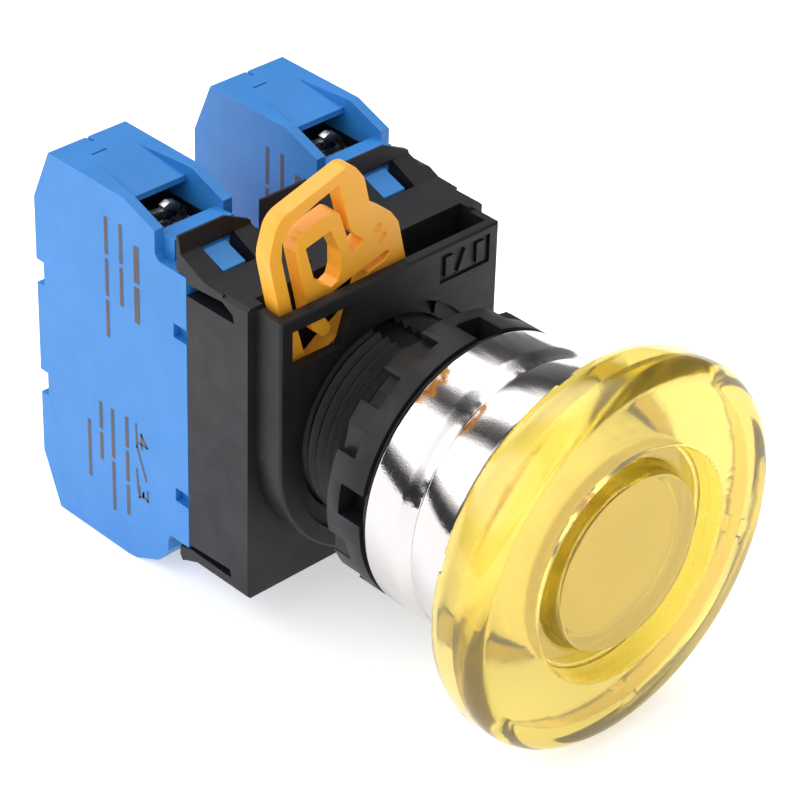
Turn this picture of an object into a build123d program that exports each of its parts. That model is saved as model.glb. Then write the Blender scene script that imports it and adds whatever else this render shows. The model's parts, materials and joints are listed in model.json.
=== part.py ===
from build123d import *
import os
from math import cos, sin, pi, radians

# Illuminated mushroom push button for a 22 mm panel hole, with two contact blocks.
# Millimetres. Origin on the button's axis in the plane where the panel meets the bezel.
# -Y is the front (the mushroom), +Y is behind the panel, +Z is the side marked TOP.

# --- operator, in front of and through the panel
HEAD_R = 20.8            # mushroom
HEAD_FRONT = -21.2       # highest ring of the mushroom's front
HEAD_REAR = -14.6        # rear edge of its skirt
CAVITY = -17.0           # floor of the hollow behind the mushroom's front
RIM_NOTCHES = 6          # small notches in the skirt's rear edge
BEZEL_R = 15.15
BEZEL_FRONT = -11.6
FLANGE = 1.6             # bezel floor that the barrel's head rests on
THREAD_R = 10.9          # crest of the barrel's thread
THREAD_DEPTH = 0.6
PITCH = 1.2
BARREL_REAR = 18.8
BARREL_BORE = 9.2
PUSHER_R = 9.15
SHOULDER = -4.6          # step in the barrel that the return spring rests on
GASKET_REAR = 0.2
RING_FRONT = 0.6         # the washer lies between the gasket and the locking ring
RING_REAR = 5.2
RING_BAND = 2.8          # the ring's teeth start here
RING_BORE = 11.4         # smooth, so that it clears the barrel's thread

# --- adaptor that joins the contact blocks to the operator
COVER_FRONT = 12.4
COVER_WALL = 1.2         # front wall
COVER_SIDE = 0.85        # side wall
COVER_R = 14.7           # half width, and radius of the round lower end
COVER_TOP = 17.1
BASE_FRONT = 16.0
BASE_REAR = 25.0
BASE_HALF = 15.8
BASE_TOP = 17.5
BASE_BOTTOM = -17.2
LEVER_FRONT = 14.2
LEVER_THICK = 2.0
LEVER_FLOOR = 17.2       # floor of the lever's recess in the base
SLIDER_FRONT = 19.2
SLIDER_THICK = 1.5
BAY = 5.4                # the base's latches are split at x = -BAY and x = BAY

# --- contact blocks
BLOCK_X = 10.75          # centre plane of each block
BLOCK_HALF = 5.05
BLOCK_FRONT = 25.1
BLOCK_REAR = 49.0
BLOCK_TOP = 21.8
WALL = 1.2
SCREW_Z = 14.2
SCREW_HOLE_R = 3.2
LIP = 31.2               # rear face of the wire entry's front lip
PLUNGER_FRONT = SLIDER_FRONT + SLIDER_THICK + 0.1

parts = {}


def box(x0, x1, y0, y1, z0, z1):
    return Pos((x0 + x1) / 2, (y0 + y1) / 2, (z0 + z1) / 2) * Box(x1 - x0, y1 - y0, z1 - z0)


def rod(radius, y0, y1, x=0.0, z=0.0):
    return Pos(x, (y0 + y1) / 2, z) * Rot(90, 0, 0) * Cylinder(radius, y1 - y0)


def tube(outer, inner, y0, y1):
    return rod(outer, y0, y1) - rod(inner, y0 - 1, y1 + 1)


def outline(points, rounds=()):
    """Closed flat face through the points; rounds lists (point, radius) for rounded corners."""
    face = make_face(Polyline(*points, close=True))
    for point, radius in rounds:
        corner = min(face.vertices(), key=lambda v: (Vector(v) - Vector(point)).length)
        face = fillet(corner, radius)
    return face


def turned(profile, rounds=()):
    """Body of revolution about the Y axis from (radius, y) points."""
    return revolve(outline(profile, rounds), Axis.Y, 360)


def plate(points, y0, y1, rounds=()):
    """Prism along Y from (x, z) points."""
    face = outline([(x, y0, z) for x, z in points], [((p[0], y0, p[1]), r) for p, r in rounds])
    return extrude(face, y1 - y0, dir=(0, 1, 0))


def side_plate(points, x0, x1, rounds=()):
    """Prism along X from (y, z) points."""
    face = outline([(x0, y, z) for y, z in points], [((x0, p[0], p[1]), r) for p, r in rounds])
    return extrude(face, x1 - x0, dir=(1, 0, 0))


def spring(mean_r, wire_r, y0, y1, turns, x=0.0):
    """Closed-in compression spring along Y."""
    height = y1 - y0 - 2 * wire_r
    path = Helix(height / turns, height, mean_r)
    wire = Plane(path @ 0, z_dir=path % 0) * Circle(wire_r)
    return Pos(x, y0 + wire_r, 0) * Rot(-90, 0, 0) * sweep(wire, path=path)


def polar(radius, degrees):
    """(x, z) at an angle from +Z towards -X, which is how the front view reads."""
    return (-radius * sin(radians(degrees)), radius * cos(radians(degrees)))


# ---------------------------------------------------------------- operator
def mushroom_lens():
    floor = HEAD_FRONT + 2.6
    crown = HEAD_FRONT + 0.5
    profile = [(0, CAVITY), (18.3, CAVITY), (18.6, HEAD_REAR), (HEAD_R - 0.6, HEAD_REAR),
               (HEAD_R, HEAD_REAR - 1.6), (HEAD_R, HEAD_FRONT + 0.45), (12.5, HEAD_FRONT), (12.1, floor),
               (10.1, floor), (9.5, crown), (0, crown - 0.05)]
    rounds = [((HEAD_R - 0.6, HEAD_REAR), 0.35), ((HEAD_R, HEAD_FRONT + 0.45), 2.2),
              ((12.5, HEAD_FRONT), 0.3), ((12.1, floor), 0.5), ((10.1, floor), 0.5), ((9.5, crown), 0.6)]
    lens = turned(profile, rounds)
    notch = box(-1.0, 1.0, HEAD_REAR - 0.5, HEAD_REAR + 1, HEAD_R - 1.3, HEAD_R + 1)
    for i in range(RIM_NOTCHES):
        lens -= Rot(0, -12 - 360 / RIM_NOTCHES * i, 0) * notch
    return lens


def diffuser_disc():
    return rod(8.4, CAVITY + 0.05, CAVITY + 0.65)


def lens_holder():
    disc = tube(12.4, 8.6, CAVITY + 0.05, CAVITY + 1.2)
    neck = tube(11.9, 10.6, CAVITY + 1.2, -8.8)
    return disc + neck


def pusher_tube():
    collar = tube(10.4, 6.6, CAVITY + 1.25, CAVITY + 2.25)
    return collar + tube(PUSHER_R, 6.6, CAVITY + 2.25, SLIDER_FRONT - 0.1)


def metal_bezel():
    inner = 12.6
    profile = [(11.1, 0), (11.1, -FLANGE), (inner, -FLANGE), (inner, BEZEL_FRONT), (14.2, BEZEL_FRONT),
               (15.0, BEZEL_FRONT + 0.8), (15.0, -6.6), (14.9, -6.4), (14.45, -6.0), (14.7, -5.2),
               (BEZEL_R, -4.4), (BEZEL_R, -0.25), (BEZEL_R - 0.25, 0)]
    shell = turned(profile, [((14.7, -5.2), 1.2), ((BEZEL_R, -4.4), 1.2)])
    return shell - tube(14.6, 12.2, -0.7, 0.5)


def panel_gasket():
    return tube(14.55, 12.25, -0.7, GASKET_REAR)


def operator_head():
    """Cup inside the bezel that the return spring stands in."""
    front = BEZEL_FRONT + 0.8
    return turned([(BARREL_BORE, SHOULDER), (12.0, SHOULDER), (12.0, front), (12.55, front),
                   (12.55, -FLANGE), (BARREL_BORE, -FLANGE)])


def operator_barrel():
    """Threaded sleeve: rings at the thread's pitch, with the keyway on top."""
    root = THREAD_R - THREAD_DEPTH
    start = RING_FRONT
    teeth = int((BARREL_REAR - start - 0.8) / PITCH)
    profile = [(BARREL_BORE, -FLANGE), (THREAD_R, -FLANGE), (THREAD_R, start)]
    for i in range(teeth):
        y = start + i * PITCH
        profile += [(root, y + 0.45 * PITCH), (root, y + 0.55 * PITCH), (THREAD_R, y + 0.92 * PITCH),
                    (THREAD_R, y + PITCH)]
    profile += [(root, BARREL_REAR - 0.5), (root, BARREL_REAR), (BARREL_BORE, BARREL_REAR)]
    keyway = box(-1.5, 1.5, 0, BARREL_REAR + 1, 9.9, THREAD_R + 1)
    return turned(profile) - keyway


def anti_rotation_washer():
    key = box(-1.35, 1.35, GASKET_REAR, RING_FRONT, 10.1, 12.0)
    return tube(14.7, 11.15, GASKET_REAR, RING_FRONT) + key


def locking_ring():
    """Castellated nut: four wide teeth with a wrench pocket, four pairs of small teeth."""
    centre = -6.3
    wide, small_near, small_far = 17.7, 28.4, 37.9
    floor_r, far = 13.6, 20.0
    ring = tube(15.1, RING_BORE, RING_FRONT, RING_REAR)
    for quarter in range(4):
        middle = centre + 90 * quarter
        gap = [polar(floor_r, middle + a) for a in (small_far, 45, 90 - small_far)]
        gap += [polar(far, middle + a) for a in (90 - small_far, 45, small_far)]
        ring -= plate(gap, RING_BAND, RING_REAR + 1)
        for side in (-1, 1):
            ramp = [polar(14.1, middle + side * wide), polar(far, middle + side * wide),
                    polar(far, middle + side * small_near), polar(15.0, middle + side * small_near)]
            ring -= plate(ramp, RING_BAND, RING_REAR + 1)
        pocket = box(-1.7, 1.7, RING_FRONT - 1, 3.6, 12.6, 16)
        ring -= Rot(0, -middle, 0) * pocket
    return ring


# ---------------------------------------------------------------- adaptor
def d_shape(half, top, y0, y1):
    """Straight sides above the axis and a round lower end."""
    return box(-half, half, y0, y1, 0, top) + rod(half, y0, y1)


def adaptor_cover():
    shell = d_shape(COVER_R, COVER_TOP, COVER_FRONT, BASE_FRONT)
    front = shell.faces().sort_by(Axis.Y)[0]
    shell = fillet(front.outer_wire().edges(), 0.35)
    inner = COVER_R - COVER_SIDE
    shell -= d_shape(inner, COVER_TOP + 5, COVER_FRONT + COVER_WALL, BASE_FRONT + 1)
    shell -= rod(12.8, COVER_FRONT - 1, COVER_FRONT + 0.7)
    shell -= rod(THREAD_R + 0.3, COVER_FRONT - 1, BASE_FRONT)
    window = plate([(-13.2, 15.6), (-5.2, 15.6), (-6.6, 11.2), (-13.2, 11.2)],
                   COVER_FRONT - 1, COVER_FRONT + COVER_WALL + 0.1)
    index_mark = box(6.2, 6.6, COVER_FRONT, COVER_FRONT + 0.95, 9.4, 11.2)
    label = box(6.5, 13.4, COVER_FRONT - 1, COVER_FRONT + 0.3, 13.0, 16.3)
    return shell - window - index_mark - label


def locking_lever():
    """Bayonet ring round the barrel, with the finger tab that turns it.

    The tab is a band round a gap. A sprung arm with an eye lies in the gap: it hangs from the
    tab's right side by a short bar, and its rounded tip shows in the cover's window.
    """
    y0, y1 = LEVER_FRONT, LEVER_FRONT + LEVER_THICK
    tab = [(-10.4, 8.0), (-12.6, 13.2), (-13.45, 17.35), (-14.75, 23.4), (-13.6, 27.3), (-4.1, 30.1),
           (-2.45, 27.9), (-1.65, 24.75), (1.2, 22.7), (2.3, 21.2), (3.3, 17.05), (4.8, 11.5), (5.6, 6.0)]
    rounds = [((-14.75, 23.4), 4.0), ((-13.6, 27.3), 2.4), ((-4.1, 30.1), 1.6), ((-1.65, 24.75), 1.0),
              ((1.2, 22.7), 0.8), ((2.3, 21.2), 0.9)]
    gap = [(-10.1, 11.3), (-11.75, 17.2), (-13.05, 22.8), (-13.0, 24.5), (-11.9, 26.1), (-8.3, 27.5),
           (-5.75, 28.3), (-4.15, 22.7), (-3.5, 21.85), (-2.2, 20.8), (1.2, 18.15), (0.6, 17.5),
           (-1.6, 16.9), (-3.0, 12.8), (-4.6, 11.9), (-6.6, 10.9), (-8.2, 9.8), (-9.4, 10.0)]
    arm = [(-5.65, 25.15), (-3.85, 19.95), (-2.1, 20.9), (0.9, 19.6), (0.9, 18.5), (-3.3, 17.4),
           (-6.9, 16.4), (-7.65, 14.6), (-6.5, 12.7), (-6.7, 12.1), (-7.6, 11.9), (-8.95, 13.2),
           (-9.25, 14.5), (-9.8, 16.95), (-11.15, 22.8), (-11.15, 24.2), (-10.5, 24.75), (-6.4, 25.65)]
    arm_rounds = [((-11.15, 24.2), 0.5), ((-10.5, 24.75), 0.5), ((-6.4, 25.65), 0.4), ((-8.95, 13.2), 0.4),
                  ((-7.6, 11.9), 0.3), ((-6.5, 12.7), 0.2)]
    eye = [(-9.95, 22.85), (-6.75, 23.6), (-5.4, 20.7), (-5.35, 18.65), (-5.7, 17.6), (-6.6, 17.2),
           (-8.75, 18.7)]
    band = plate(tab, y0, y1, rounds) - plate(gap, y0 - 1, y1 + 1)
    sprung = plate(arm, y0, y1, arm_rounds) - plate(eye, y0 - 1, y1 + 1)
    body = band + rod(12.4, y0, y1) - rod(THREAD_R + 0.18, y0 - 1, y1 + 1) + sprung
    for x, z in ((-0.5, 21.5), (0.2, 20.2)):
        body -= rod(0.5, y0 - 1, y0 + 0.25, x, z)
    return body


def top_latch(x0, x1):
    """Snap arm with an upright rear edge, low at its right end."""
    profile = [(19.8, 16.9), (26.5, 17.15), (26.5, 21.1), (26.2, 21.1), (25.85, 19.2), (22.4, 17.6),
               (19.6, BASE_TOP)]
    arm = side_plate(profile, x0, x1)
    shoulder = [(x1 - 4.3, 21.2), (x1 - 1.0, 19.6), (x1 - 0.8, 18.5), (x1, 18.2), (x1 + 1, 18.2),
                (x1 + 1, 22), (x1 - 4.3, 22)]
    return arm - plate(shoulder, 18, 27)


def bottom_latch(x0, x1):
    """Shallow arm that the foot of a contact block clicks over."""
    return side_plate([(24.0, -16.0), (25.2, -15.85), (26.5, -16.1), (26.5, -17.2), (26.1, -17.8),
                       (25.6, -17.5), (24.0, -16.9)], x0, x1)


def adaptor_base():
    body = box(-BASE_HALF, BASE_HALF, BASE_FRONT, BASE_REAR, BASE_BOTTOM, BASE_TOP)
    body = chamfer(body.edges().filter_by(Axis.Y), 0.4)
    inner = COVER_R - COVER_SIDE
    body -= d_shape(inner, BASE_TOP + 5, BASE_FRONT - 1, LEVER_FLOOR)
    body -= rod(THREAD_R + 0.1, LEVER_FLOOR - 1, BASE_REAR + 1)
    body -= box(-13.8, 13.8, BARREL_REAR + 0.1, BASE_REAR + 1, -5.6, 5.6)
    for slit in ([(26, 14.9), (26, 16.2), (19.7, 16.7), (18.2, 15.9), (18.0, 15.0)],
                 [(26, -15.65), (26, -15.2), (18.7, -14.87), (18.45, -15.75), (19.3, -15.8)]):
        body -= side_plate(slit, -20, 20)
    hollow = [(19.1, -17.4), (19.4, -16.9), (22.4, -16.8), (24.6, -17.05), (25.1, -17.3), (25.1, -18),
              (19.1, -18)]
    body -= side_plate(hollow, -20, 20)
    for x0, x1 in ((-BASE_HALF, -BAY - 0.3), (-BAY + 0.3, BAY - 0.3), (BAY + 0.3, BASE_HALF)):
        body += top_latch(x0, x1) + bottom_latch(x0, x1)
        window = (x0 + x1) / 2 - 0.35
        body -= box(window - 2.15, window + 2.15, 22.5, 26.0, 15.5, 19.3)
        body -= box(window - 2.15, window + 2.15, 25.9, 27.0, 16.9, 18.9)
        body -= box(window - 2.15, window + 2.15, 22.5, 25.8, -20, -15)
    for x in (-BAY, BAY):
        body -= box(x - 0.3, x + 0.3, 18.6, BASE_REAR + 2, 14.9, 25)
        body -= box(x - 0.3, x + 0.3, 18.6, BASE_REAR + 2, -25, -14.9)
    return body


def slider_plate():
    """Carries the button's push across to both contact blocks."""
    y0, y1 = SLIDER_FRONT, SLIDER_FRONT + SLIDER_THICK
    plate_body = rod(10.6, y0, y1) + box(-13.2, 13.2, y0, y1, -4.8, 4.8)
    return plate_body - rod(6.5, y0 - 1, y1 + 1)


# ---------------------------------------------------------------- contact blocks
def block_outline():
    """Side view; the foot below is shorter than the one above, which carries the hook."""
    top = [(BLOCK_FRONT, 16.9), (29.2, 16.9), (29.8, 17.5), (29.8, 20.1), (34.5, BLOCK_TOP),
           (46.4, BLOCK_TOP), (BLOCK_REAR, 15.65)]
    bottom = [(BLOCK_REAR, -15.65), (46.4, -BLOCK_TOP), (34.9, -BLOCK_TOP), (33.6, -21.6), (30.1, -20.0),
              (29.1, -19.0), (28.45, -17.9), (28.4, -16.5), (28.1, -15.7), (BLOCK_FRONT, -15.7)]
    return top + bottom


def wire_entry(mid, side):
    """Between the side walls: a ramp that narrows to the rear, a slot over the clamp, a front lip."""
    half = BLOCK_HALF - WALL
    height = side * 22
    points = [(42.1, BLOCK_TOP), (35.4, 20.7), (35.4, 20.0), (38.4, 19.6), (38.4, 10.4), (LIP, 10.4),
              (LIP, 18.9), (28.0, 19.35), (28.0, 25), (42.1, 25)]
    entry = side_plate([(y, side * z) for y, z in points], mid - half, mid + half)
    for edge, inset in ((mid - half, 1.35), (mid + half, -0.85)):
        outside = edge - inset
        wedge = outline([(edge, 35.4), (edge + inset, 42.2), (outside, 42.2), (outside, 35.4)])
        entry -= Pos(0, 0, height) * extrude(wedge, 3, both=True)
    return entry


def front_lip(side):
    """Front edge of the wire entry; on top it stands forward of the side walls."""
    if side > 0:
        return [(LIP, 16.9), (LIP, 18.9), (28.2, 19.35), (28.2, 16.9)]
    return [(LIP, -16.9), (LIP, -18.9), (30.0, -19.3), (28.6, -17.9), (28.6, -16.9)]


def block_solid(mid, x0, x1):
    """The block between two planes of its width, hollowed for its contacts."""
    body = side_plate(block_outline(), x0, x1)
    left, right = mid - BLOCK_HALF, mid + BLOCK_HALF
    body -= box(left + WALL, right - WALL, 29.5, 47.6, -9.0, 9.0)
    body -= box(left + WALL, right - WALL, 30.8, 42.7, -10.4, 10.4)
    body -= box(mid - 2.05, mid + 2.05, BLOCK_FRONT - 1, 30, -2.1, 2.1)
    for side in (-1, 1):
        body -= wire_entry(mid, side)
        body += side_plate(front_lip(side), max(x0, left + WALL), min(x1, right - WALL))
        body -= rod(SCREW_HOLE_R, 37, BLOCK_REAR + 1, mid, side * SCREW_Z)
        body -= block_trim(mid, side)
    return body


def block_trim(mid, side):
    """Notches in the left wall and the rear edge, and the parting slot."""
    face = mid - BLOCK_HALF
    low, high = sorted((side * 5.4, side * 8.2))
    rear = box(face - 1, face + 0.9, 47.8, BLOCK_REAR + 1, low, high)
    low, high = sorted((side * 9.15, side * 10.75))
    front = box(face - 1, face + 0.9, BLOCK_FRONT - 1, 27.1, low, high)
    vee = plate([(mid - 0.45, side * 23), (mid + 0.45, side * 23), (mid, side * 21.0)], 45.3, 47.5)
    low, high = sorted((side * 21.3, side * 22.5))
    slot = box(mid - 1.9, mid, 43.1, 43.3, low, high)
    return rear + front + vee + slot


def top_hook(mid):
    """Barb that snaps into the upper latch window of the adaptor."""
    points = [(28.3, 17.0), (28.3, 18.3), (25.6, 18.8), (25.0, 18.5), (22.7, 17.75), (22.7, 17.4),
              (26.0, 17.3), (26.6, 17.0)]
    return side_plate(points, mid - 2.3, mid + 0.6)


def bottom_hook(mid):
    """Small nose under the foot that clicks over the lower latch."""
    points = [(25.7, -15.3), (25.6, -16.9), (24.3, -16.7), (23.4, -15.9), (24.3, -15.3)]
    return side_plate(points, mid - 2.3, mid + 0.6)


def block_shell(mid):
    """Left half of the housing, with both hooks."""
    return block_solid(mid, mid - BLOCK_HALF, mid) + top_hook(mid) + bottom_hook(mid)


def block_cover(mid):
    """Right half of the housing."""
    return block_solid(mid, mid, mid + BLOCK_HALF) - top_hook(mid) - bottom_hook(mid)


def contact_plunger(mid):
    stem = box(mid - 1.8, mid + 1.8, PLUNGER_FRONT, 41.0, -1.8, 1.8)
    window = box(mid - 1.0, mid + 1.0, 33.0, 38.6, -3, 3)
    return stem - window + rod(0.9, 41.0, 42.6, mid)


def moving_contact(mid):
    bar = box(mid - 0.95, mid + 0.95, 38.0, 38.55, -7.2, 7.2)
    tips = [rod(0.9, 38.55, 39.0, mid, z) for z in (-5.6, 5.6)]
    return bar + tips[0] + tips[1]


def fixed_contact(mid, side):
    strip = [(31.25, 18.0), (32.05, 18.0), (32.05, 10.2), (42.6, 10.2), (42.6, 4.4), (41.95, 4.4),
             (41.95, 9.5), (31.25, 9.5)]
    leg = side_plate([(y, side * z) for y, z in strip], mid - 2.6, mid + 2.6)
    return leg + rod(1.0, 41.45, 42.0, mid, side * 5.6) - rod(1.5, 30, 33, mid, side * SCREW_Z)


def clamp_washer(mid, side):
    plate_body = box(mid - 2.9, mid + 2.9, 33.7, 34.7, side * SCREW_Z - 2.8, side * SCREW_Z + 2.8)
    return plate_body - rod(1.85, 33, 36, mid, side * SCREW_Z)


def terminal_screw(mid, side):
    z = side * SCREW_Z
    head = rod(2.9, 34.75, 37.1, mid, z)
    slot = box(mid - 2.2, mid + 2.2, 36.1, 38, z - 0.35, z + 0.35)
    cross = box(mid - 0.35, mid + 0.35, 36.1, 38, z - 2.2, z + 2.2)
    return head - slot - cross + rod(1.45, 31.4, 34.75, mid, z)


# ---------------------------------------------------------------- lamp
def lamp_holder():
    socket = tube(6.2, 4.9, 8.0, 21.5) + rod(6.2, 21.5, BLOCK_FRONT)
    flange = box(-5.0, 5.0, BLOCK_FRONT, 26.6, -15.4, 15.4)
    body = box(-5.0, 5.0, 26.6, 38.0, -8.0, 8.0)
    body = fillet(body.edges().filter_by(Axis.Y), 0.6)
    holder = socket + flange + body - rod(1.1, 21, 30)
    for z in (-4.6, 4.6):
        holder -= rod(1.25, 31, 39, 0, z)
    return holder


def lamp_base():
    return rod(4.6, 6.0, 19.6) + rod(1.4, 19.6, 20.4)


def lamp_cap():
    cap = rod(4.4, -4.0, 6.0)
    return fillet(cap.edges().sort_by(Axis.Y)[0], 3.0)


def lamp_contact():
    return rod(1.0, 20.5, 29.0)


def lamp_terminal_screw(z):
    head = rod(2.3, 38.05, 39.6, 0, z)
    slot = box(-3, 3, 38.9, 41, z - 0.3, z + 0.3)
    return head - slot + rod(1.15, 32, 38.05, 0, z)


def main():
    parts["mushroom_lens"] = mushroom_lens()
    parts["diffuser_disc"] = diffuser_disc()
    parts["lens_holder"] = lens_holder()
    parts["pusher_tube"] = pusher_tube()
    parts["button_spring"] = spring(9.85, 0.4, CAVITY + 2.25, SHOULDER, 5)
    parts["metal_bezel"] = metal_bezel()
    parts["panel_gasket"] = panel_gasket()
    parts["operator_head"] = operator_head()
    parts["operator_barrel"] = operator_barrel()
    parts["anti_rotation_washer"] = anti_rotation_washer()
    parts["locking_ring"] = locking_ring()
    parts["adaptor_cover"] = adaptor_cover()
    parts["locking_lever"] = locking_lever()
    parts["adaptor_base"] = adaptor_base()
    parts["slider_plate"] = slider_plate()
    parts["lamp_holder"] = lamp_holder()
    parts["lamp_base"] = lamp_base()
    parts["lamp_cap"] = lamp_cap()
    parts["lamp_contact"] = lamp_contact()
    parts["lamp_terminal_screws"] = Compound([lamp_terminal_screw(-4.6), lamp_terminal_screw(4.6)])
    for name, sign in (("left", -1), ("right", 1)):
        mid = sign * BLOCK_X
        parts[name + "_block_shell"] = block_shell(mid)
        parts[name + "_block_cover"] = block_cover(mid)
        parts[name + "_plunger"] = contact_plunger(mid)
        parts[name + "_moving_contact"] = moving_contact(mid)
        parts[name + "_contact_spring"] = spring(0.7, 0.12, 33.0, 38.0, 8, mid)
        parts[name + "_return_spring"] = spring(1.6, 0.18, 41.0, 47.55, 7, mid)
        parts[name + "_fixed_contacts"] = Compound([fixed_contact(mid, s) for s in (-1, 1)])
        parts[name + "_clamp_washers"] = Compound([clamp_washer(mid, s) for s in (-1, 1)])
        parts[name + "_terminal_screws"] = Compound([terminal_screw(mid, s) for s in (-1, 1)])

    os.makedirs("parts", exist_ok=True)
    for node, solid in parts.items():
        export_step(solid, f"parts/{node}.step")


main()
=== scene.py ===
"""Looks of the illuminated mushroom push button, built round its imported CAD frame."""

import json
import math

import bmesh
import bpy
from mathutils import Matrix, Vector


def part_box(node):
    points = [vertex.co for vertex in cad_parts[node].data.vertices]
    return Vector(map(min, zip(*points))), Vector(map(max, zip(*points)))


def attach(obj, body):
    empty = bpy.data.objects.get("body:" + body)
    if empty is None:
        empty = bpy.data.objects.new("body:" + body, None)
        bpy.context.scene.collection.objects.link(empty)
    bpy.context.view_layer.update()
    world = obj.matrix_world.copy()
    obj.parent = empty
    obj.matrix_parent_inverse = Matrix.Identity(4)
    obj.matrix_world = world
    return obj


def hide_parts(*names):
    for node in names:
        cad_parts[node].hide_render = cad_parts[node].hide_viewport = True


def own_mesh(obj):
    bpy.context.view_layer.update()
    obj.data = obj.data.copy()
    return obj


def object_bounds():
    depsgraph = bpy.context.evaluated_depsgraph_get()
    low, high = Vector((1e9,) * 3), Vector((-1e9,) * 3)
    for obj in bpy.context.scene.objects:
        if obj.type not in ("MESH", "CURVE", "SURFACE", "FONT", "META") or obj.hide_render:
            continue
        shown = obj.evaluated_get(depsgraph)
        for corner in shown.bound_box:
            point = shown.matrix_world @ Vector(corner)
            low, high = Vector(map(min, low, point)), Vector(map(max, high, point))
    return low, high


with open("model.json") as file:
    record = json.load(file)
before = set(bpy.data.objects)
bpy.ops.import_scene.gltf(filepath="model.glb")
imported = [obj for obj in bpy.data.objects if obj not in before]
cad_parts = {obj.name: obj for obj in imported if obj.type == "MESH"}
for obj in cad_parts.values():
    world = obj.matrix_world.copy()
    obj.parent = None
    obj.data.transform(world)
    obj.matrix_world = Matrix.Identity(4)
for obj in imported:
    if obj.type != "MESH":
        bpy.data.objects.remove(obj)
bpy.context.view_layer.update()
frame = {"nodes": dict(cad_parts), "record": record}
NODES = frame["nodes"]
MM = 0.001
SIDES = ("left", "right")
ENDS = (("top", 1), ("bottom", -1))      # ends of a contact block, with their sign along Z

# Camera: three-quarter view of the front, left and top.
AZIMUTH = math.radians(-44.5)
ELEVATION = math.radians(33.7)
ROLL = math.radians(1.8)
DISTANCE = 332 * MM
LENS = 148.3
AIM_RIGHT = 1.1 * MM
AIM_UP = 1.7 * MM
CLIP_START = 0.01

FLOOR_HALF = 3                           # half the floor's width, in metres
FLOOR_GAP = 0.1 * MM                     # between the object and the floor
FLOOR_GLOW = 0.5

# Where the values of a noise texture mostly lie, and the scales of the noise on moulded plastic.
NOISE_LOW, NOISE_HIGH = 0.3, 0.7
CLOUD_SCALE, GLOSS_SCALE, COARSE_SCALE, GRAIN_SCALE = 120, 400, 1500, 7000
PLASTIC_SPREAD = 0.05                    # how far the roughness strays to either side
METAL_SPREAD = 0.06
# painted glow of the white diffuser, whose lamp is off
DIFFUSER_PAINTED_GLOW = 0.25

EDGE_RADIUS = 0.12 * MM                  # of the rounded sharp edges
WELD_DISTANCE = 1e-6
FLAT_ANGLE = math.radians(0.5)           # faces that bend less than this are one flat face
SHARP_ANGLE = math.radians(35)           # edges that bend more than this are rounded


# ---------------------------------------------------------------- small helpers
def link(obj):
    bpy.context.scene.collection.objects.link(obj)
    return obj


def mesh_object(name, bm, smooth_angle=40):
    """A mesh object from a bmesh, smooth except across edges sharper than the angle."""
    mesh = bpy.data.meshes.new(name)
    bm.to_mesh(mesh)
    bm.free()
    mesh.shade_smooth()
    mesh.set_sharp_from_angle(angle=math.radians(smooth_angle))
    return link(bpy.data.objects.new(name, mesh))


def solid(name, corners, faces):
    """A mesh object from corners, and faces given as corner numbers."""
    bm = bmesh.new()
    verts = [bm.verts.new(c) for c in corners]
    for face in faces:
        bm.faces.new([verts[i] for i in face])
    bmesh.ops.recalc_face_normals(bm, faces=bm.faces)
    return mesh_object(name, bm)


def prism(name, points, x0, x1, place):
    """Solid between two planes; place turns (point, depth) into x, y, z."""
    bm = bmesh.new()
    ends = [[bm.verts.new(place(p, d)) for p in points] for d in (x0, x1)]
    bm.faces.new(ends[0])
    bm.faces.new(ends[1])
    count = len(points)
    for i in range(count):
        k = (i + 1) % count
        bm.faces.new((ends[0][i], ends[0][k], ends[1][k], ends[1][i]))
    bmesh.ops.recalc_face_normals(bm, faces=bm.faces)
    return mesh_object(name, bm)


def join(name, pieces):
    """One object from several."""
    bm = bmesh.new()
    for piece in pieces:
        bm.from_mesh(piece.data)
        mesh = piece.data
        bpy.data.objects.remove(piece)
        bpy.data.meshes.remove(mesh)
    return mesh_object(name, bm)


# ---------------------------------------------------------------- camera, light, floor
def make_camera():
    a, e = AZIMUTH, ELEVATION
    back = Vector((math.sin(a) * math.cos(e), -math.cos(a) * math.cos(e), math.sin(e)))
    side = Vector((math.cos(a), math.sin(a), 0))
    up = back.cross(side)
    right = side * math.cos(ROLL) + up * math.sin(ROLL)
    top = up * math.cos(ROLL) - side * math.sin(ROLL)
    aim = Vector((0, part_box("adaptor_cover")[0].y, 0)) + right * AIM_RIGHT + top * AIM_UP
    camera = link(bpy.data.objects.new("camera", bpy.data.cameras.new("camera")))
    camera.data.lens = LENS
    camera.data.clip_start = CLIP_START
    basis = camera.matrix_world.to_3x3()
    for i in range(3):
        basis[i] = (right[i], top[i], back[i])
    camera.matrix_world = basis.to_4x4()
    camera.location = aim + back * DISTANCE
    bpy.context.scene.camera = camera


# Brightness of the studio round the Y axis: degrees from +X through +Z, and how bright it is.
# Two softboxes stand above and to the left, with dark gaps between them; the right side is grey.
STUDIO = [(0, 0.37), (23, 0.22), (38, 0.10), (50, 0.18), (58, 1.6), (66, 3.5), (86, 3.2), (96, 0.4),
          (106, 0.07), (113, 0.6), (120, 2.9), (153, 3.1), (161, 1.0), (167, 0.08), (180, 0.05),
          (200, 0.6), (270, 0.6), (330, 0.4)]
STUDIO_TOP = 4.0                         # brightness that is white in the colour ramp
STUDIO_LEVEL = 0.88
FRONT_DIMMING = 0.5                      # share of the light that is left in front of the button
FRONT_FADE = (-0.5, 0.3)                 # Y of the direction where the dimming is full, and where it ends


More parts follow.
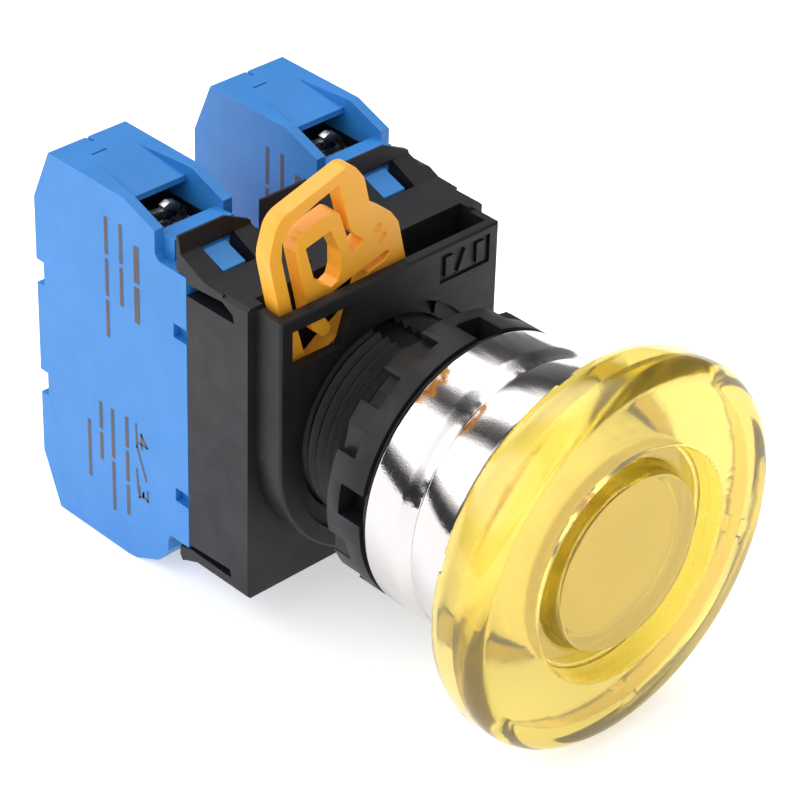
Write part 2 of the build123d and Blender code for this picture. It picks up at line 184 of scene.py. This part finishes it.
def make_studio():
    """World light that depends on the direction round the Y axis, and is dimmer in front."""
    world = bpy.data.worlds.new("studio")
    bpy.context.scene.world = world
    world.use_nodes = True
    tree = world.node_tree
    connect = tree.links.new
    add = tree.nodes.new
    xyz = add("ShaderNodeSeparateXYZ")
    connect(add("ShaderNodeTexCoord").outputs["Generated"], xyz.inputs[0])
    angle = add("ShaderNodeMath")
    angle.operation = "ARCTAN2"
    connect(xyz.outputs["Z"], angle.inputs[0])
    connect(xyz.outputs["X"], angle.inputs[1])
    turn = add("ShaderNodeMath")
    turn.operation = "DIVIDE"
    turn.inputs[1].default_value = 2 * math.pi
    connect(angle.outputs[0], turn.inputs[0])
    share = add("ShaderNodeMath")
    share.operation = "FRACT"
    connect(turn.outputs[0], share.inputs[0])
    ramp = add("ShaderNodeValToRGB")
    elements = ramp.color_ramp.elements
    for i, (degrees, bright) in enumerate(STUDIO):
        element = elements[i] if i < 2 else elements.new(degrees / 360)
        element.position = degrees / 360
        grey = bright / STUDIO_TOP
        element.color = (grey, grey, grey, 1)
    connect(share.outputs[0], ramp.inputs["Fac"])
    front = add("ShaderNodeMapRange")
    front.inputs["From Min"].default_value = FRONT_FADE[0]
    front.inputs["From Max"].default_value = FRONT_FADE[1]
    front.inputs["To Min"].default_value = STUDIO_TOP * STUDIO_LEVEL * FRONT_DIMMING
    front.inputs["To Max"].default_value = STUDIO_TOP * STUDIO_LEVEL
    connect(xyz.outputs["Y"], front.inputs["Value"])
    background = tree.nodes["Background"]
    connect(ramp.outputs["Color"], background.inputs["Color"])
    connect(front.outputs["Result"], background.inputs["Strength"])
    bpy.context.scene.view_settings.view_transform = "Standard"


def make_floor():
    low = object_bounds()[0][2]
    bm = bmesh.new()
    bmesh.ops.create_grid(bm, x_segments=1, y_segments=1, size=FLOOR_HALF)
    floor = mesh_object("floor", bm)
    floor.location.z = low - FLOOR_GAP
    white = plain_material("floor_white", (0.9, 0.9, 0.9), 0.6)
    shader = white.node_tree.nodes["Principled BSDF"]
    shader.inputs["Emission Color"].default_value = (1, 1, 1, 1)
    shader.inputs["Emission Strength"].default_value = FLOOR_GLOW
    floor.data.materials.append(white)


# ---------------------------------------------------------------- materials
def plain_material(name, colour, roughness):
    material = bpy.data.materials.new(name)
    material.use_nodes = True
    shader = material.node_tree.nodes["Principled BSDF"]
    shader.inputs["Base Color"].default_value = (*colour, 1)
    shader.inputs["Roughness"].default_value = roughness
    return material


class Nodes:
    """Short calls for building a node tree on a principled shader."""

    def __init__(self, name):
        self.material = bpy.data.materials.new(name)
        self.material.use_nodes = True
        self.tree = self.material.node_tree
        self.shader = self.tree.nodes["Principled BSDF"]
        self.place = self.add("ShaderNodeTexCoord").outputs["Object"]

    def add(self, kind, **values):
        node = self.tree.nodes.new(kind)
        for key, value in values.items():
            setattr(node, key, value)
        return node

    def join(self, start, end):
        self.tree.links.new(start, end)

    def set(self, **values):
        for key, value in values.items():
            self.shader.inputs[key.replace("_", " ")].default_value = value

    def noise(self, scale, detail=2.0, stretch=(1, 1, 1)):
        mapping = self.add("ShaderNodeMapping")
        mapping.inputs["Scale"].default_value = stretch
        self.join(self.place, mapping.inputs["Vector"])
        noise = self.add("ShaderNodeTexNoise")
        noise.inputs["Scale"].default_value = scale
        noise.inputs["Detail"].default_value = detail
        self.join(mapping.outputs["Vector"], noise.inputs["Vector"])
        return noise.outputs["Fac"]

    def ramp(self, source, low, high):
        ramp = self.add("ShaderNodeValToRGB")
        ramp.color_ramp.elements[0].position = NOISE_LOW
        ramp.color_ramp.elements[1].position = NOISE_HIGH
        ramp.color_ramp.elements[0].color = (*low, 1)
        ramp.color_ramp.elements[1].color = (*high, 1)
        self.join(source, ramp.inputs["Fac"])
        return ramp.outputs["Color"]

    def span(self, source, low, high):
        remap = self.add("ShaderNodeMapRange")
        remap.inputs["From Min"].default_value = NOISE_LOW
        remap.inputs["From Max"].default_value = NOISE_HIGH
        remap.inputs["To Min"].default_value = low
        remap.inputs["To Max"].default_value = high
        self.join(source, remap.inputs["Value"])
        return remap.outputs["Result"]

    def bump(self, source, distance, strength=1.0, under=None):
        bump = self.add("ShaderNodeBump")
        bump.inputs["Distance"].default_value = distance
        bump.inputs["Strength"].default_value = strength
        self.join(source, bump.inputs["Height"])
        if under:
            self.join(under, bump.inputs["Normal"])
        return bump.outputs["Normal"]


def moulded_plastic(name, colour, shade, roughness, grain, sheen=0.5):
    """Matte moulded plastic: a fine spark-eroded grain, and faint cloudiness in colour and gloss."""
    n = Nodes(name)
    cloud = n.noise(CLOUD_SCALE, 3)
    n.join(n.ramp(cloud, colour, shade), n.shader.inputs["Base Color"])
    gloss = n.noise(GLOSS_SCALE, 2)
    low, high = roughness - PLASTIC_SPREAD, roughness + PLASTIC_SPREAD
    n.join(n.span(gloss, low, high), n.shader.inputs["Roughness"])
    fine = n.bump(n.noise(GRAIN_SCALE, 3), grain)
    n.join(n.bump(n.noise(COARSE_SCALE, 2), grain, 0.4, fine), n.shader.inputs["Normal"])
    n.set(Specular_IOR_Level=sheen)
    return n.material


def lens_material():
    """Clear yellow plastic: the colour comes from the depth of plastic that light crosses."""
    n = Nodes("lens_yellow")
    n.set(Base_Color=(0.96, 0.80, 0.22, 1), Transmission_Weight=0.93, IOR=1.49)
    n.join(n.span(n.noise(500, 2), 0.06, 0.13), n.shader.inputs["Roughness"])
    n.join(n.bump(n.noise(900, 2), 0.000006), n.shader.inputs["Normal"])
    depth = n.add("ShaderNodeVolumeAbsorption")
    depth.inputs["Color"].default_value = (0.90, 0.80, 0.10, 1)
    depth.inputs["Density"].default_value = 90
    n.join(depth.outputs["Volume"], n.tree.nodes["Material Output"].inputs["Volume"])
    return n.material


def bezel_material():
    """Bright nickel plate with fine turning marks round the axis."""
    n = Nodes("bezel_metal")
    n.set(Metallic=1.0, Base_Color=(0.62, 0.595, 0.59, 1))
    streak = n.noise(900, 3, (0.04, 6, 0.04))
    n.join(n.span(streak, 0.06, 0.12), n.shader.inputs["Roughness"])
    n.join(n.bump(n.noise(5000, 2), 0.000006), n.shader.inputs["Normal"])
    return n.material


def metal(name, low, high, roughness):
    """Plain metal whose colour wanders between two shades."""
    n = Nodes(name)
    n.set(Metallic=1.0)
    n.join(n.ramp(n.noise(900, 3), low, high), n.shader.inputs["Base Color"])
    gloss = n.noise(2500, 2)
    n.join(n.span(gloss, roughness - METAL_SPREAD, roughness + METAL_SPREAD), n.shader.inputs["Roughness"])
    n.join(n.bump(n.noise(4000, 2), 0.000003), n.shader.inputs["Normal"])
    return n.material


def painted_glow(material, colour, strength):
    """Painted glow: a little light of its own, standing in for light that reaches the diffuser through the
    lens while its lamp is off.
    """
    shader = material.node_tree.nodes["Principled BSDF"]
    shader.inputs["Emission Color"].default_value = (*colour, 1)
    shader.inputs["Emission Strength"].default_value = strength
    return material


def make_materials():
    plastic = moulded_plastic
    white = plastic("white_plastic", (0.93, 0.90, 0.80), (0.86, 0.83, 0.72), 0.45, 1e-5)
    return {
        "lens_yellow": lens_material(),
        # the white diffuser gets a painted glow, not a lit lamp
        "white_plastic": painted_glow(white, (1.0, 0.95, 0.8), DIFFUSER_PAINTED_GLOW),
        "black_plastic": plastic("black_plastic", (0.007, 0.007, 0.009), (0.012, 0.011, 0.014),
                                 0.5, 2.5e-5, 0.35),
        "bezel_metal": bezel_material(),
        "rubber": plastic("rubber", (0.012, 0.012, 0.012), (0.02, 0.02, 0.02), 0.7, 2e-5, 0.3),
        "block_blue": plastic("block_blue", (0.022, 0.205, 0.57), (0.030, 0.225, 0.63), 0.42, 2e-5),
        "lever_yellow": plastic("lever_yellow", (0.94, 0.41, 0.03), (0.98, 0.46, 0.04), 0.38, 1.2e-5),
        "spring_steel": metal("spring_steel", (0.45, 0.45, 0.46), (0.6, 0.6, 0.6), 0.3),
        "screw_steel": metal("screw_steel", (0.62, 0.60, 0.56), (0.78, 0.77, 0.74), 0.28),
        "brass": metal("brass", (0.72, 0.50, 0.20), (0.84, 0.62, 0.28), 0.3),
        "print_ink": plastic("print_ink", (0.10, 0.085, 0.09), (0.13, 0.11, 0.11), 0.6, 1e-5, 0.3),
        # pocket_black is a darker copy of the black plastic: painted shade for the terminal pockets
        "pocket_black": plastic("pocket_black", (0.004, 0.004, 0.006), (0.008, 0.008, 0.010), 0.6, 2e-5, 0.2),
    }


# ---------------------------------------------------------------- details the CAD leaves out
# Printed rows on the left face of each contact block, as bars in place of words: distance behind
# the panel, top, bottom, height of the letters and length of one word, all in millimetres.
PRINT_ROWS = [(32.7, 17.0, 7.5, 0.8, 4.7), (35.1, 18.5, 8.4, 0.5, 5.0), (37.4, 18.4, 3.7, 0.5, 4.9),
              (34.8, -4.3, -17.2, 0.5, 4.3), (37.1, -4.5, -17.8, 0.5, 6.6), (39.0, -4.5, -12.3, 0.5, 3.9),
              (41.0, -7.7, -15.4, 0.5, 7.7)]
# Strokes of the contact symbol and the terminal numbers 4 and 3, as (y, z) in millimetres.
PRINT_STROKES = [[(33.3, -4.5), (33.2, -7.2), (31.8, -10.8)], [(33.3, -10.1), (33.1, -12.9)],
                 [(32.9, -6.6), (31.6, -6.6), (32.45, -5.4), (32.45, -7.1)],
                 [(32.9, -12.2), (32.9, -13.4), (32.3, -13.1), (32.3, -12.6), (32.3, -13.1), (31.6, -13.3),
                  (31.6, -12.1)]]
STROKE = 0.28
PRINT_LIFT = 0.03                        # how far the ink stands off the block
WORD_GAP = 0.5


def side_bar(x, y0, z0, y1, z1, width):
    """Flat bar from one point to another on the side of a block."""
    along = Vector((0, y1 - y0, z1 - z0)).normalized() * (width / 2)
    across = Vector((0, -along.z, along.y))
    start, end = Vector((x, y0, z0)) - along, Vector((x, y1, z1)) + along
    corners = [start - across, end - across, end + across, start + across]
    return solid("bar", [c * MM for c in corners], [(0, 1, 2, 3)])


def print_on_block(side, ink):
    """Rows of bars and the contact symbol, as one piece on the left face of a block."""
    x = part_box(side + "_block_shell")[0].x / MM - PRINT_LIFT
    bars = []
    for y, top, bottom, height, word in PRINT_ROWS:
        count = max(1, round((top - bottom) / word))
        step = (top - bottom) / count
        for i in range(count):
            start = top - i * step - height / 2
            bars.append(side_bar(x, y, start, y, start - step + WORD_GAP + height, height))
    for stroke in PRINT_STROKES:
        for (y0, z0), (y1, z1) in zip(stroke, stroke[1:]):
            bars.append(side_bar(x, y0, z0, y1, z1, STROKE))
    marks = join(side + "_block_print", bars)
    marks.data.materials.append(ink)
    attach(marks, "housing")


# Wire clamp at the outer end of each terminal: a saddle with a bent ear, seen from the front, in
# (x, z) millimetres from the middle of the block, and its depth behind the clamp washer's front.
CLAMP_SADDLE = [(-2.6, 16.9), (-2.6, 19.2), (-0.6, 18.9), (-0.5, 19.3), (0.3, 19.6), (1.2, 19.3), (2.0, 18.5),
                (2.5, 17.6), (2.5, 16.9), (1.7, 16.9), (1.7, 17.5), (1.2, 18.3), (0.4, 18.7), (-0.4, 18.3),
                (-0.6, 17.9), (-2.0, 18.1), (-2.0, 16.9)]
SADDLE_DEPTH = (0.05, 0.85)


def washer_place(side):
    """Middle of a block's clamp washers across the block, and their front face."""
    low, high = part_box(side + "_clamp_washers")
    return (low.x + high.x) / 2, low.y


def clamp_saddle(side, end, sign):
    middle, front = washer_place(side)

    def place(point, depth):
        return (middle + point[0] * MM, front + depth * MM, sign * point[1] * MM)

    return prism(f"{side}_{end}_clamp_saddle", CLAMP_SADDLE, *SADDLE_DEPTH, place)


def clamp_saddles(steel):
    for side in SIDES:
        for end, sign in ENDS:
            saddle = clamp_saddle(side, end, sign)
            saddle.data.materials.append(steel)
            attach(saddle, "housing")


# Painted shade in each terminal pocket: very dark walls round the terminal, open to the outside, that stand
# in
# for the shade there: (low, high) corners of the walls in millimetres, across the block from its middle,
# behind the panel, and away from the axis.
SHADE_WALLS = [((-3.8, 38.0, 15.9), (3.8, 38.35, 19.4)), ((-3.82, 32.1, 15.9), (-3.6, 38.35, 19.0)),
                 ((3.6, 32.1, 15.9), (3.82, 38.35, 17.6)), ((-3.6, 32.1, 15.9), (3.6, 32.3, 18.1)),
                 ((-3.6, 34.8, 17.15), (3.6, 38.0, 17.4)), ((-3.6, 32.3, 16.6), (3.6, 33.6, 16.8))]


# Very dark walls that paint the shade inside one terminal pocket.
def terminal_painted_shade(side, end, sign):
    middle = washer_place(side)[0]

    def place(point, depth):
        return (middle + point[0] * MM, point[1] * MM, sign * depth * MM)

    walls = []
    for (x0, y0, z0), (x1, y1, z1) in SHADE_WALLS:
        rectangle = [(x0, y0), (x1, y0), (x1, y1), (x0, y1)]
        walls.append(prism("wall", rectangle, z0, z1, place))
    return join(f"{side}_{end}_terminal_carrier", walls)


def terminal_painted_shades(black):
    for side in SIDES:
        for end, sign in ENDS:
            painted_shade = terminal_painted_shade(side, end, sign)
            painted_shade.data.materials.append(black)
            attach(painted_shade, "housing")


# Raised orientation mark in the cover's recess, (x, z) millimetres: an upward arrow between bars.
TOP_MARK = [[(7.3, 13.5), (8.4, 13.5), (8.4, 15.8), (7.3, 15.8)],
            [(9.0, 13.5), (11.0, 13.5), (10.0, 15.9)],
            [(11.6, 13.5), (12.7, 13.5), (12.7, 15.8), (11.6, 15.8)]]
MARK_DEPTH = (0.02, 0.35)                # behind the cover's front


def orientation_mark(black):
    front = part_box("adaptor_cover")[0].y

    def place(point, depth):
        return (point[0] * MM, front + depth * MM, point[1] * MM)

    pieces = [prism("mark", points, *MARK_DEPTH, place) for points in TOP_MARK]
    mark = join("orientation_mark", pieces)
    mark.data.materials.append(black)
    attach(mark, "housing")


# ---------------------------------------------------------------- CAD nodes and springs
def dress_cad(materials):
    """Gives every CAD node its material and soft edges."""
    slots = {row["node"]: row["material_slot"] for row in frame["record"]["subparts"]}
    for name, node in NODES.items():
        slot = slots[name]
        node.data.materials.clear()
        node.data.materials.append(materials[slot])
        soften(node, EDGE_RADIUS)


def soften(obj, width):
    """Cleans the flat faces and rounds the sharp edges, without touching the CAD mesh itself."""
    weld = obj.modifiers.new("weld", "WELD")
    weld.merge_threshold = WELD_DISTANCE
    flat = obj.modifiers.new("flat", "DECIMATE")
    flat.decimate_type = "DISSOLVE"
    flat.angle_limit = FLAT_ANGLE
    bevel = obj.modifiers.new("soft_edges", "BEVEL")
    bevel.width = width
    bevel.segments = 2
    bevel.limit_method = "ANGLE"
    bevel.angle_limit = SHARP_ANGLE
    bevel.harden_normals = True


# Springs with their joints: the joint, the body that holds the rear end, and how much
# shorter the spring is at the joint's limit, in metres.
SPRINGS = {
    "button_spring": ("button_press", "housing", 0.004),
    "left_return_spring": ("left_plunger_travel", "housing", 0.004),
    "right_return_spring": ("right_plunger_travel", "housing", 0.004),
    "left_contact_spring": ("left_bridge_travel", "left_contact_bridge", 0.0016),
    "right_contact_spring": ("right_bridge_travel", "right_contact_bridge", 0.0016),
}


def flexing_springs(steel):
    """Coils that stand in for the rigid CAD springs, each carried by the body that holds its rear end."""
    for node, (joint, body, travel) in SPRINGS.items():
        spring = link(bpy.data.objects.new(node + "_coil", NODES[node].data.copy()))
        spring.data.materials.clear()
        spring.data.materials.append(steel)
        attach(spring, body)
        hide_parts(node)
        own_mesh(spring)


materials = make_materials()
make_camera()
make_studio()
dress_cad(materials)
flexing_springs(materials["spring_steel"])
for side in SIDES:
    print_on_block(side, materials["print_ink"])
clamp_saddles(materials["screw_steel"])
terminal_painted_shades(materials["pocket_black"])
orientation_mark(materials["black_plastic"])
make_floor()
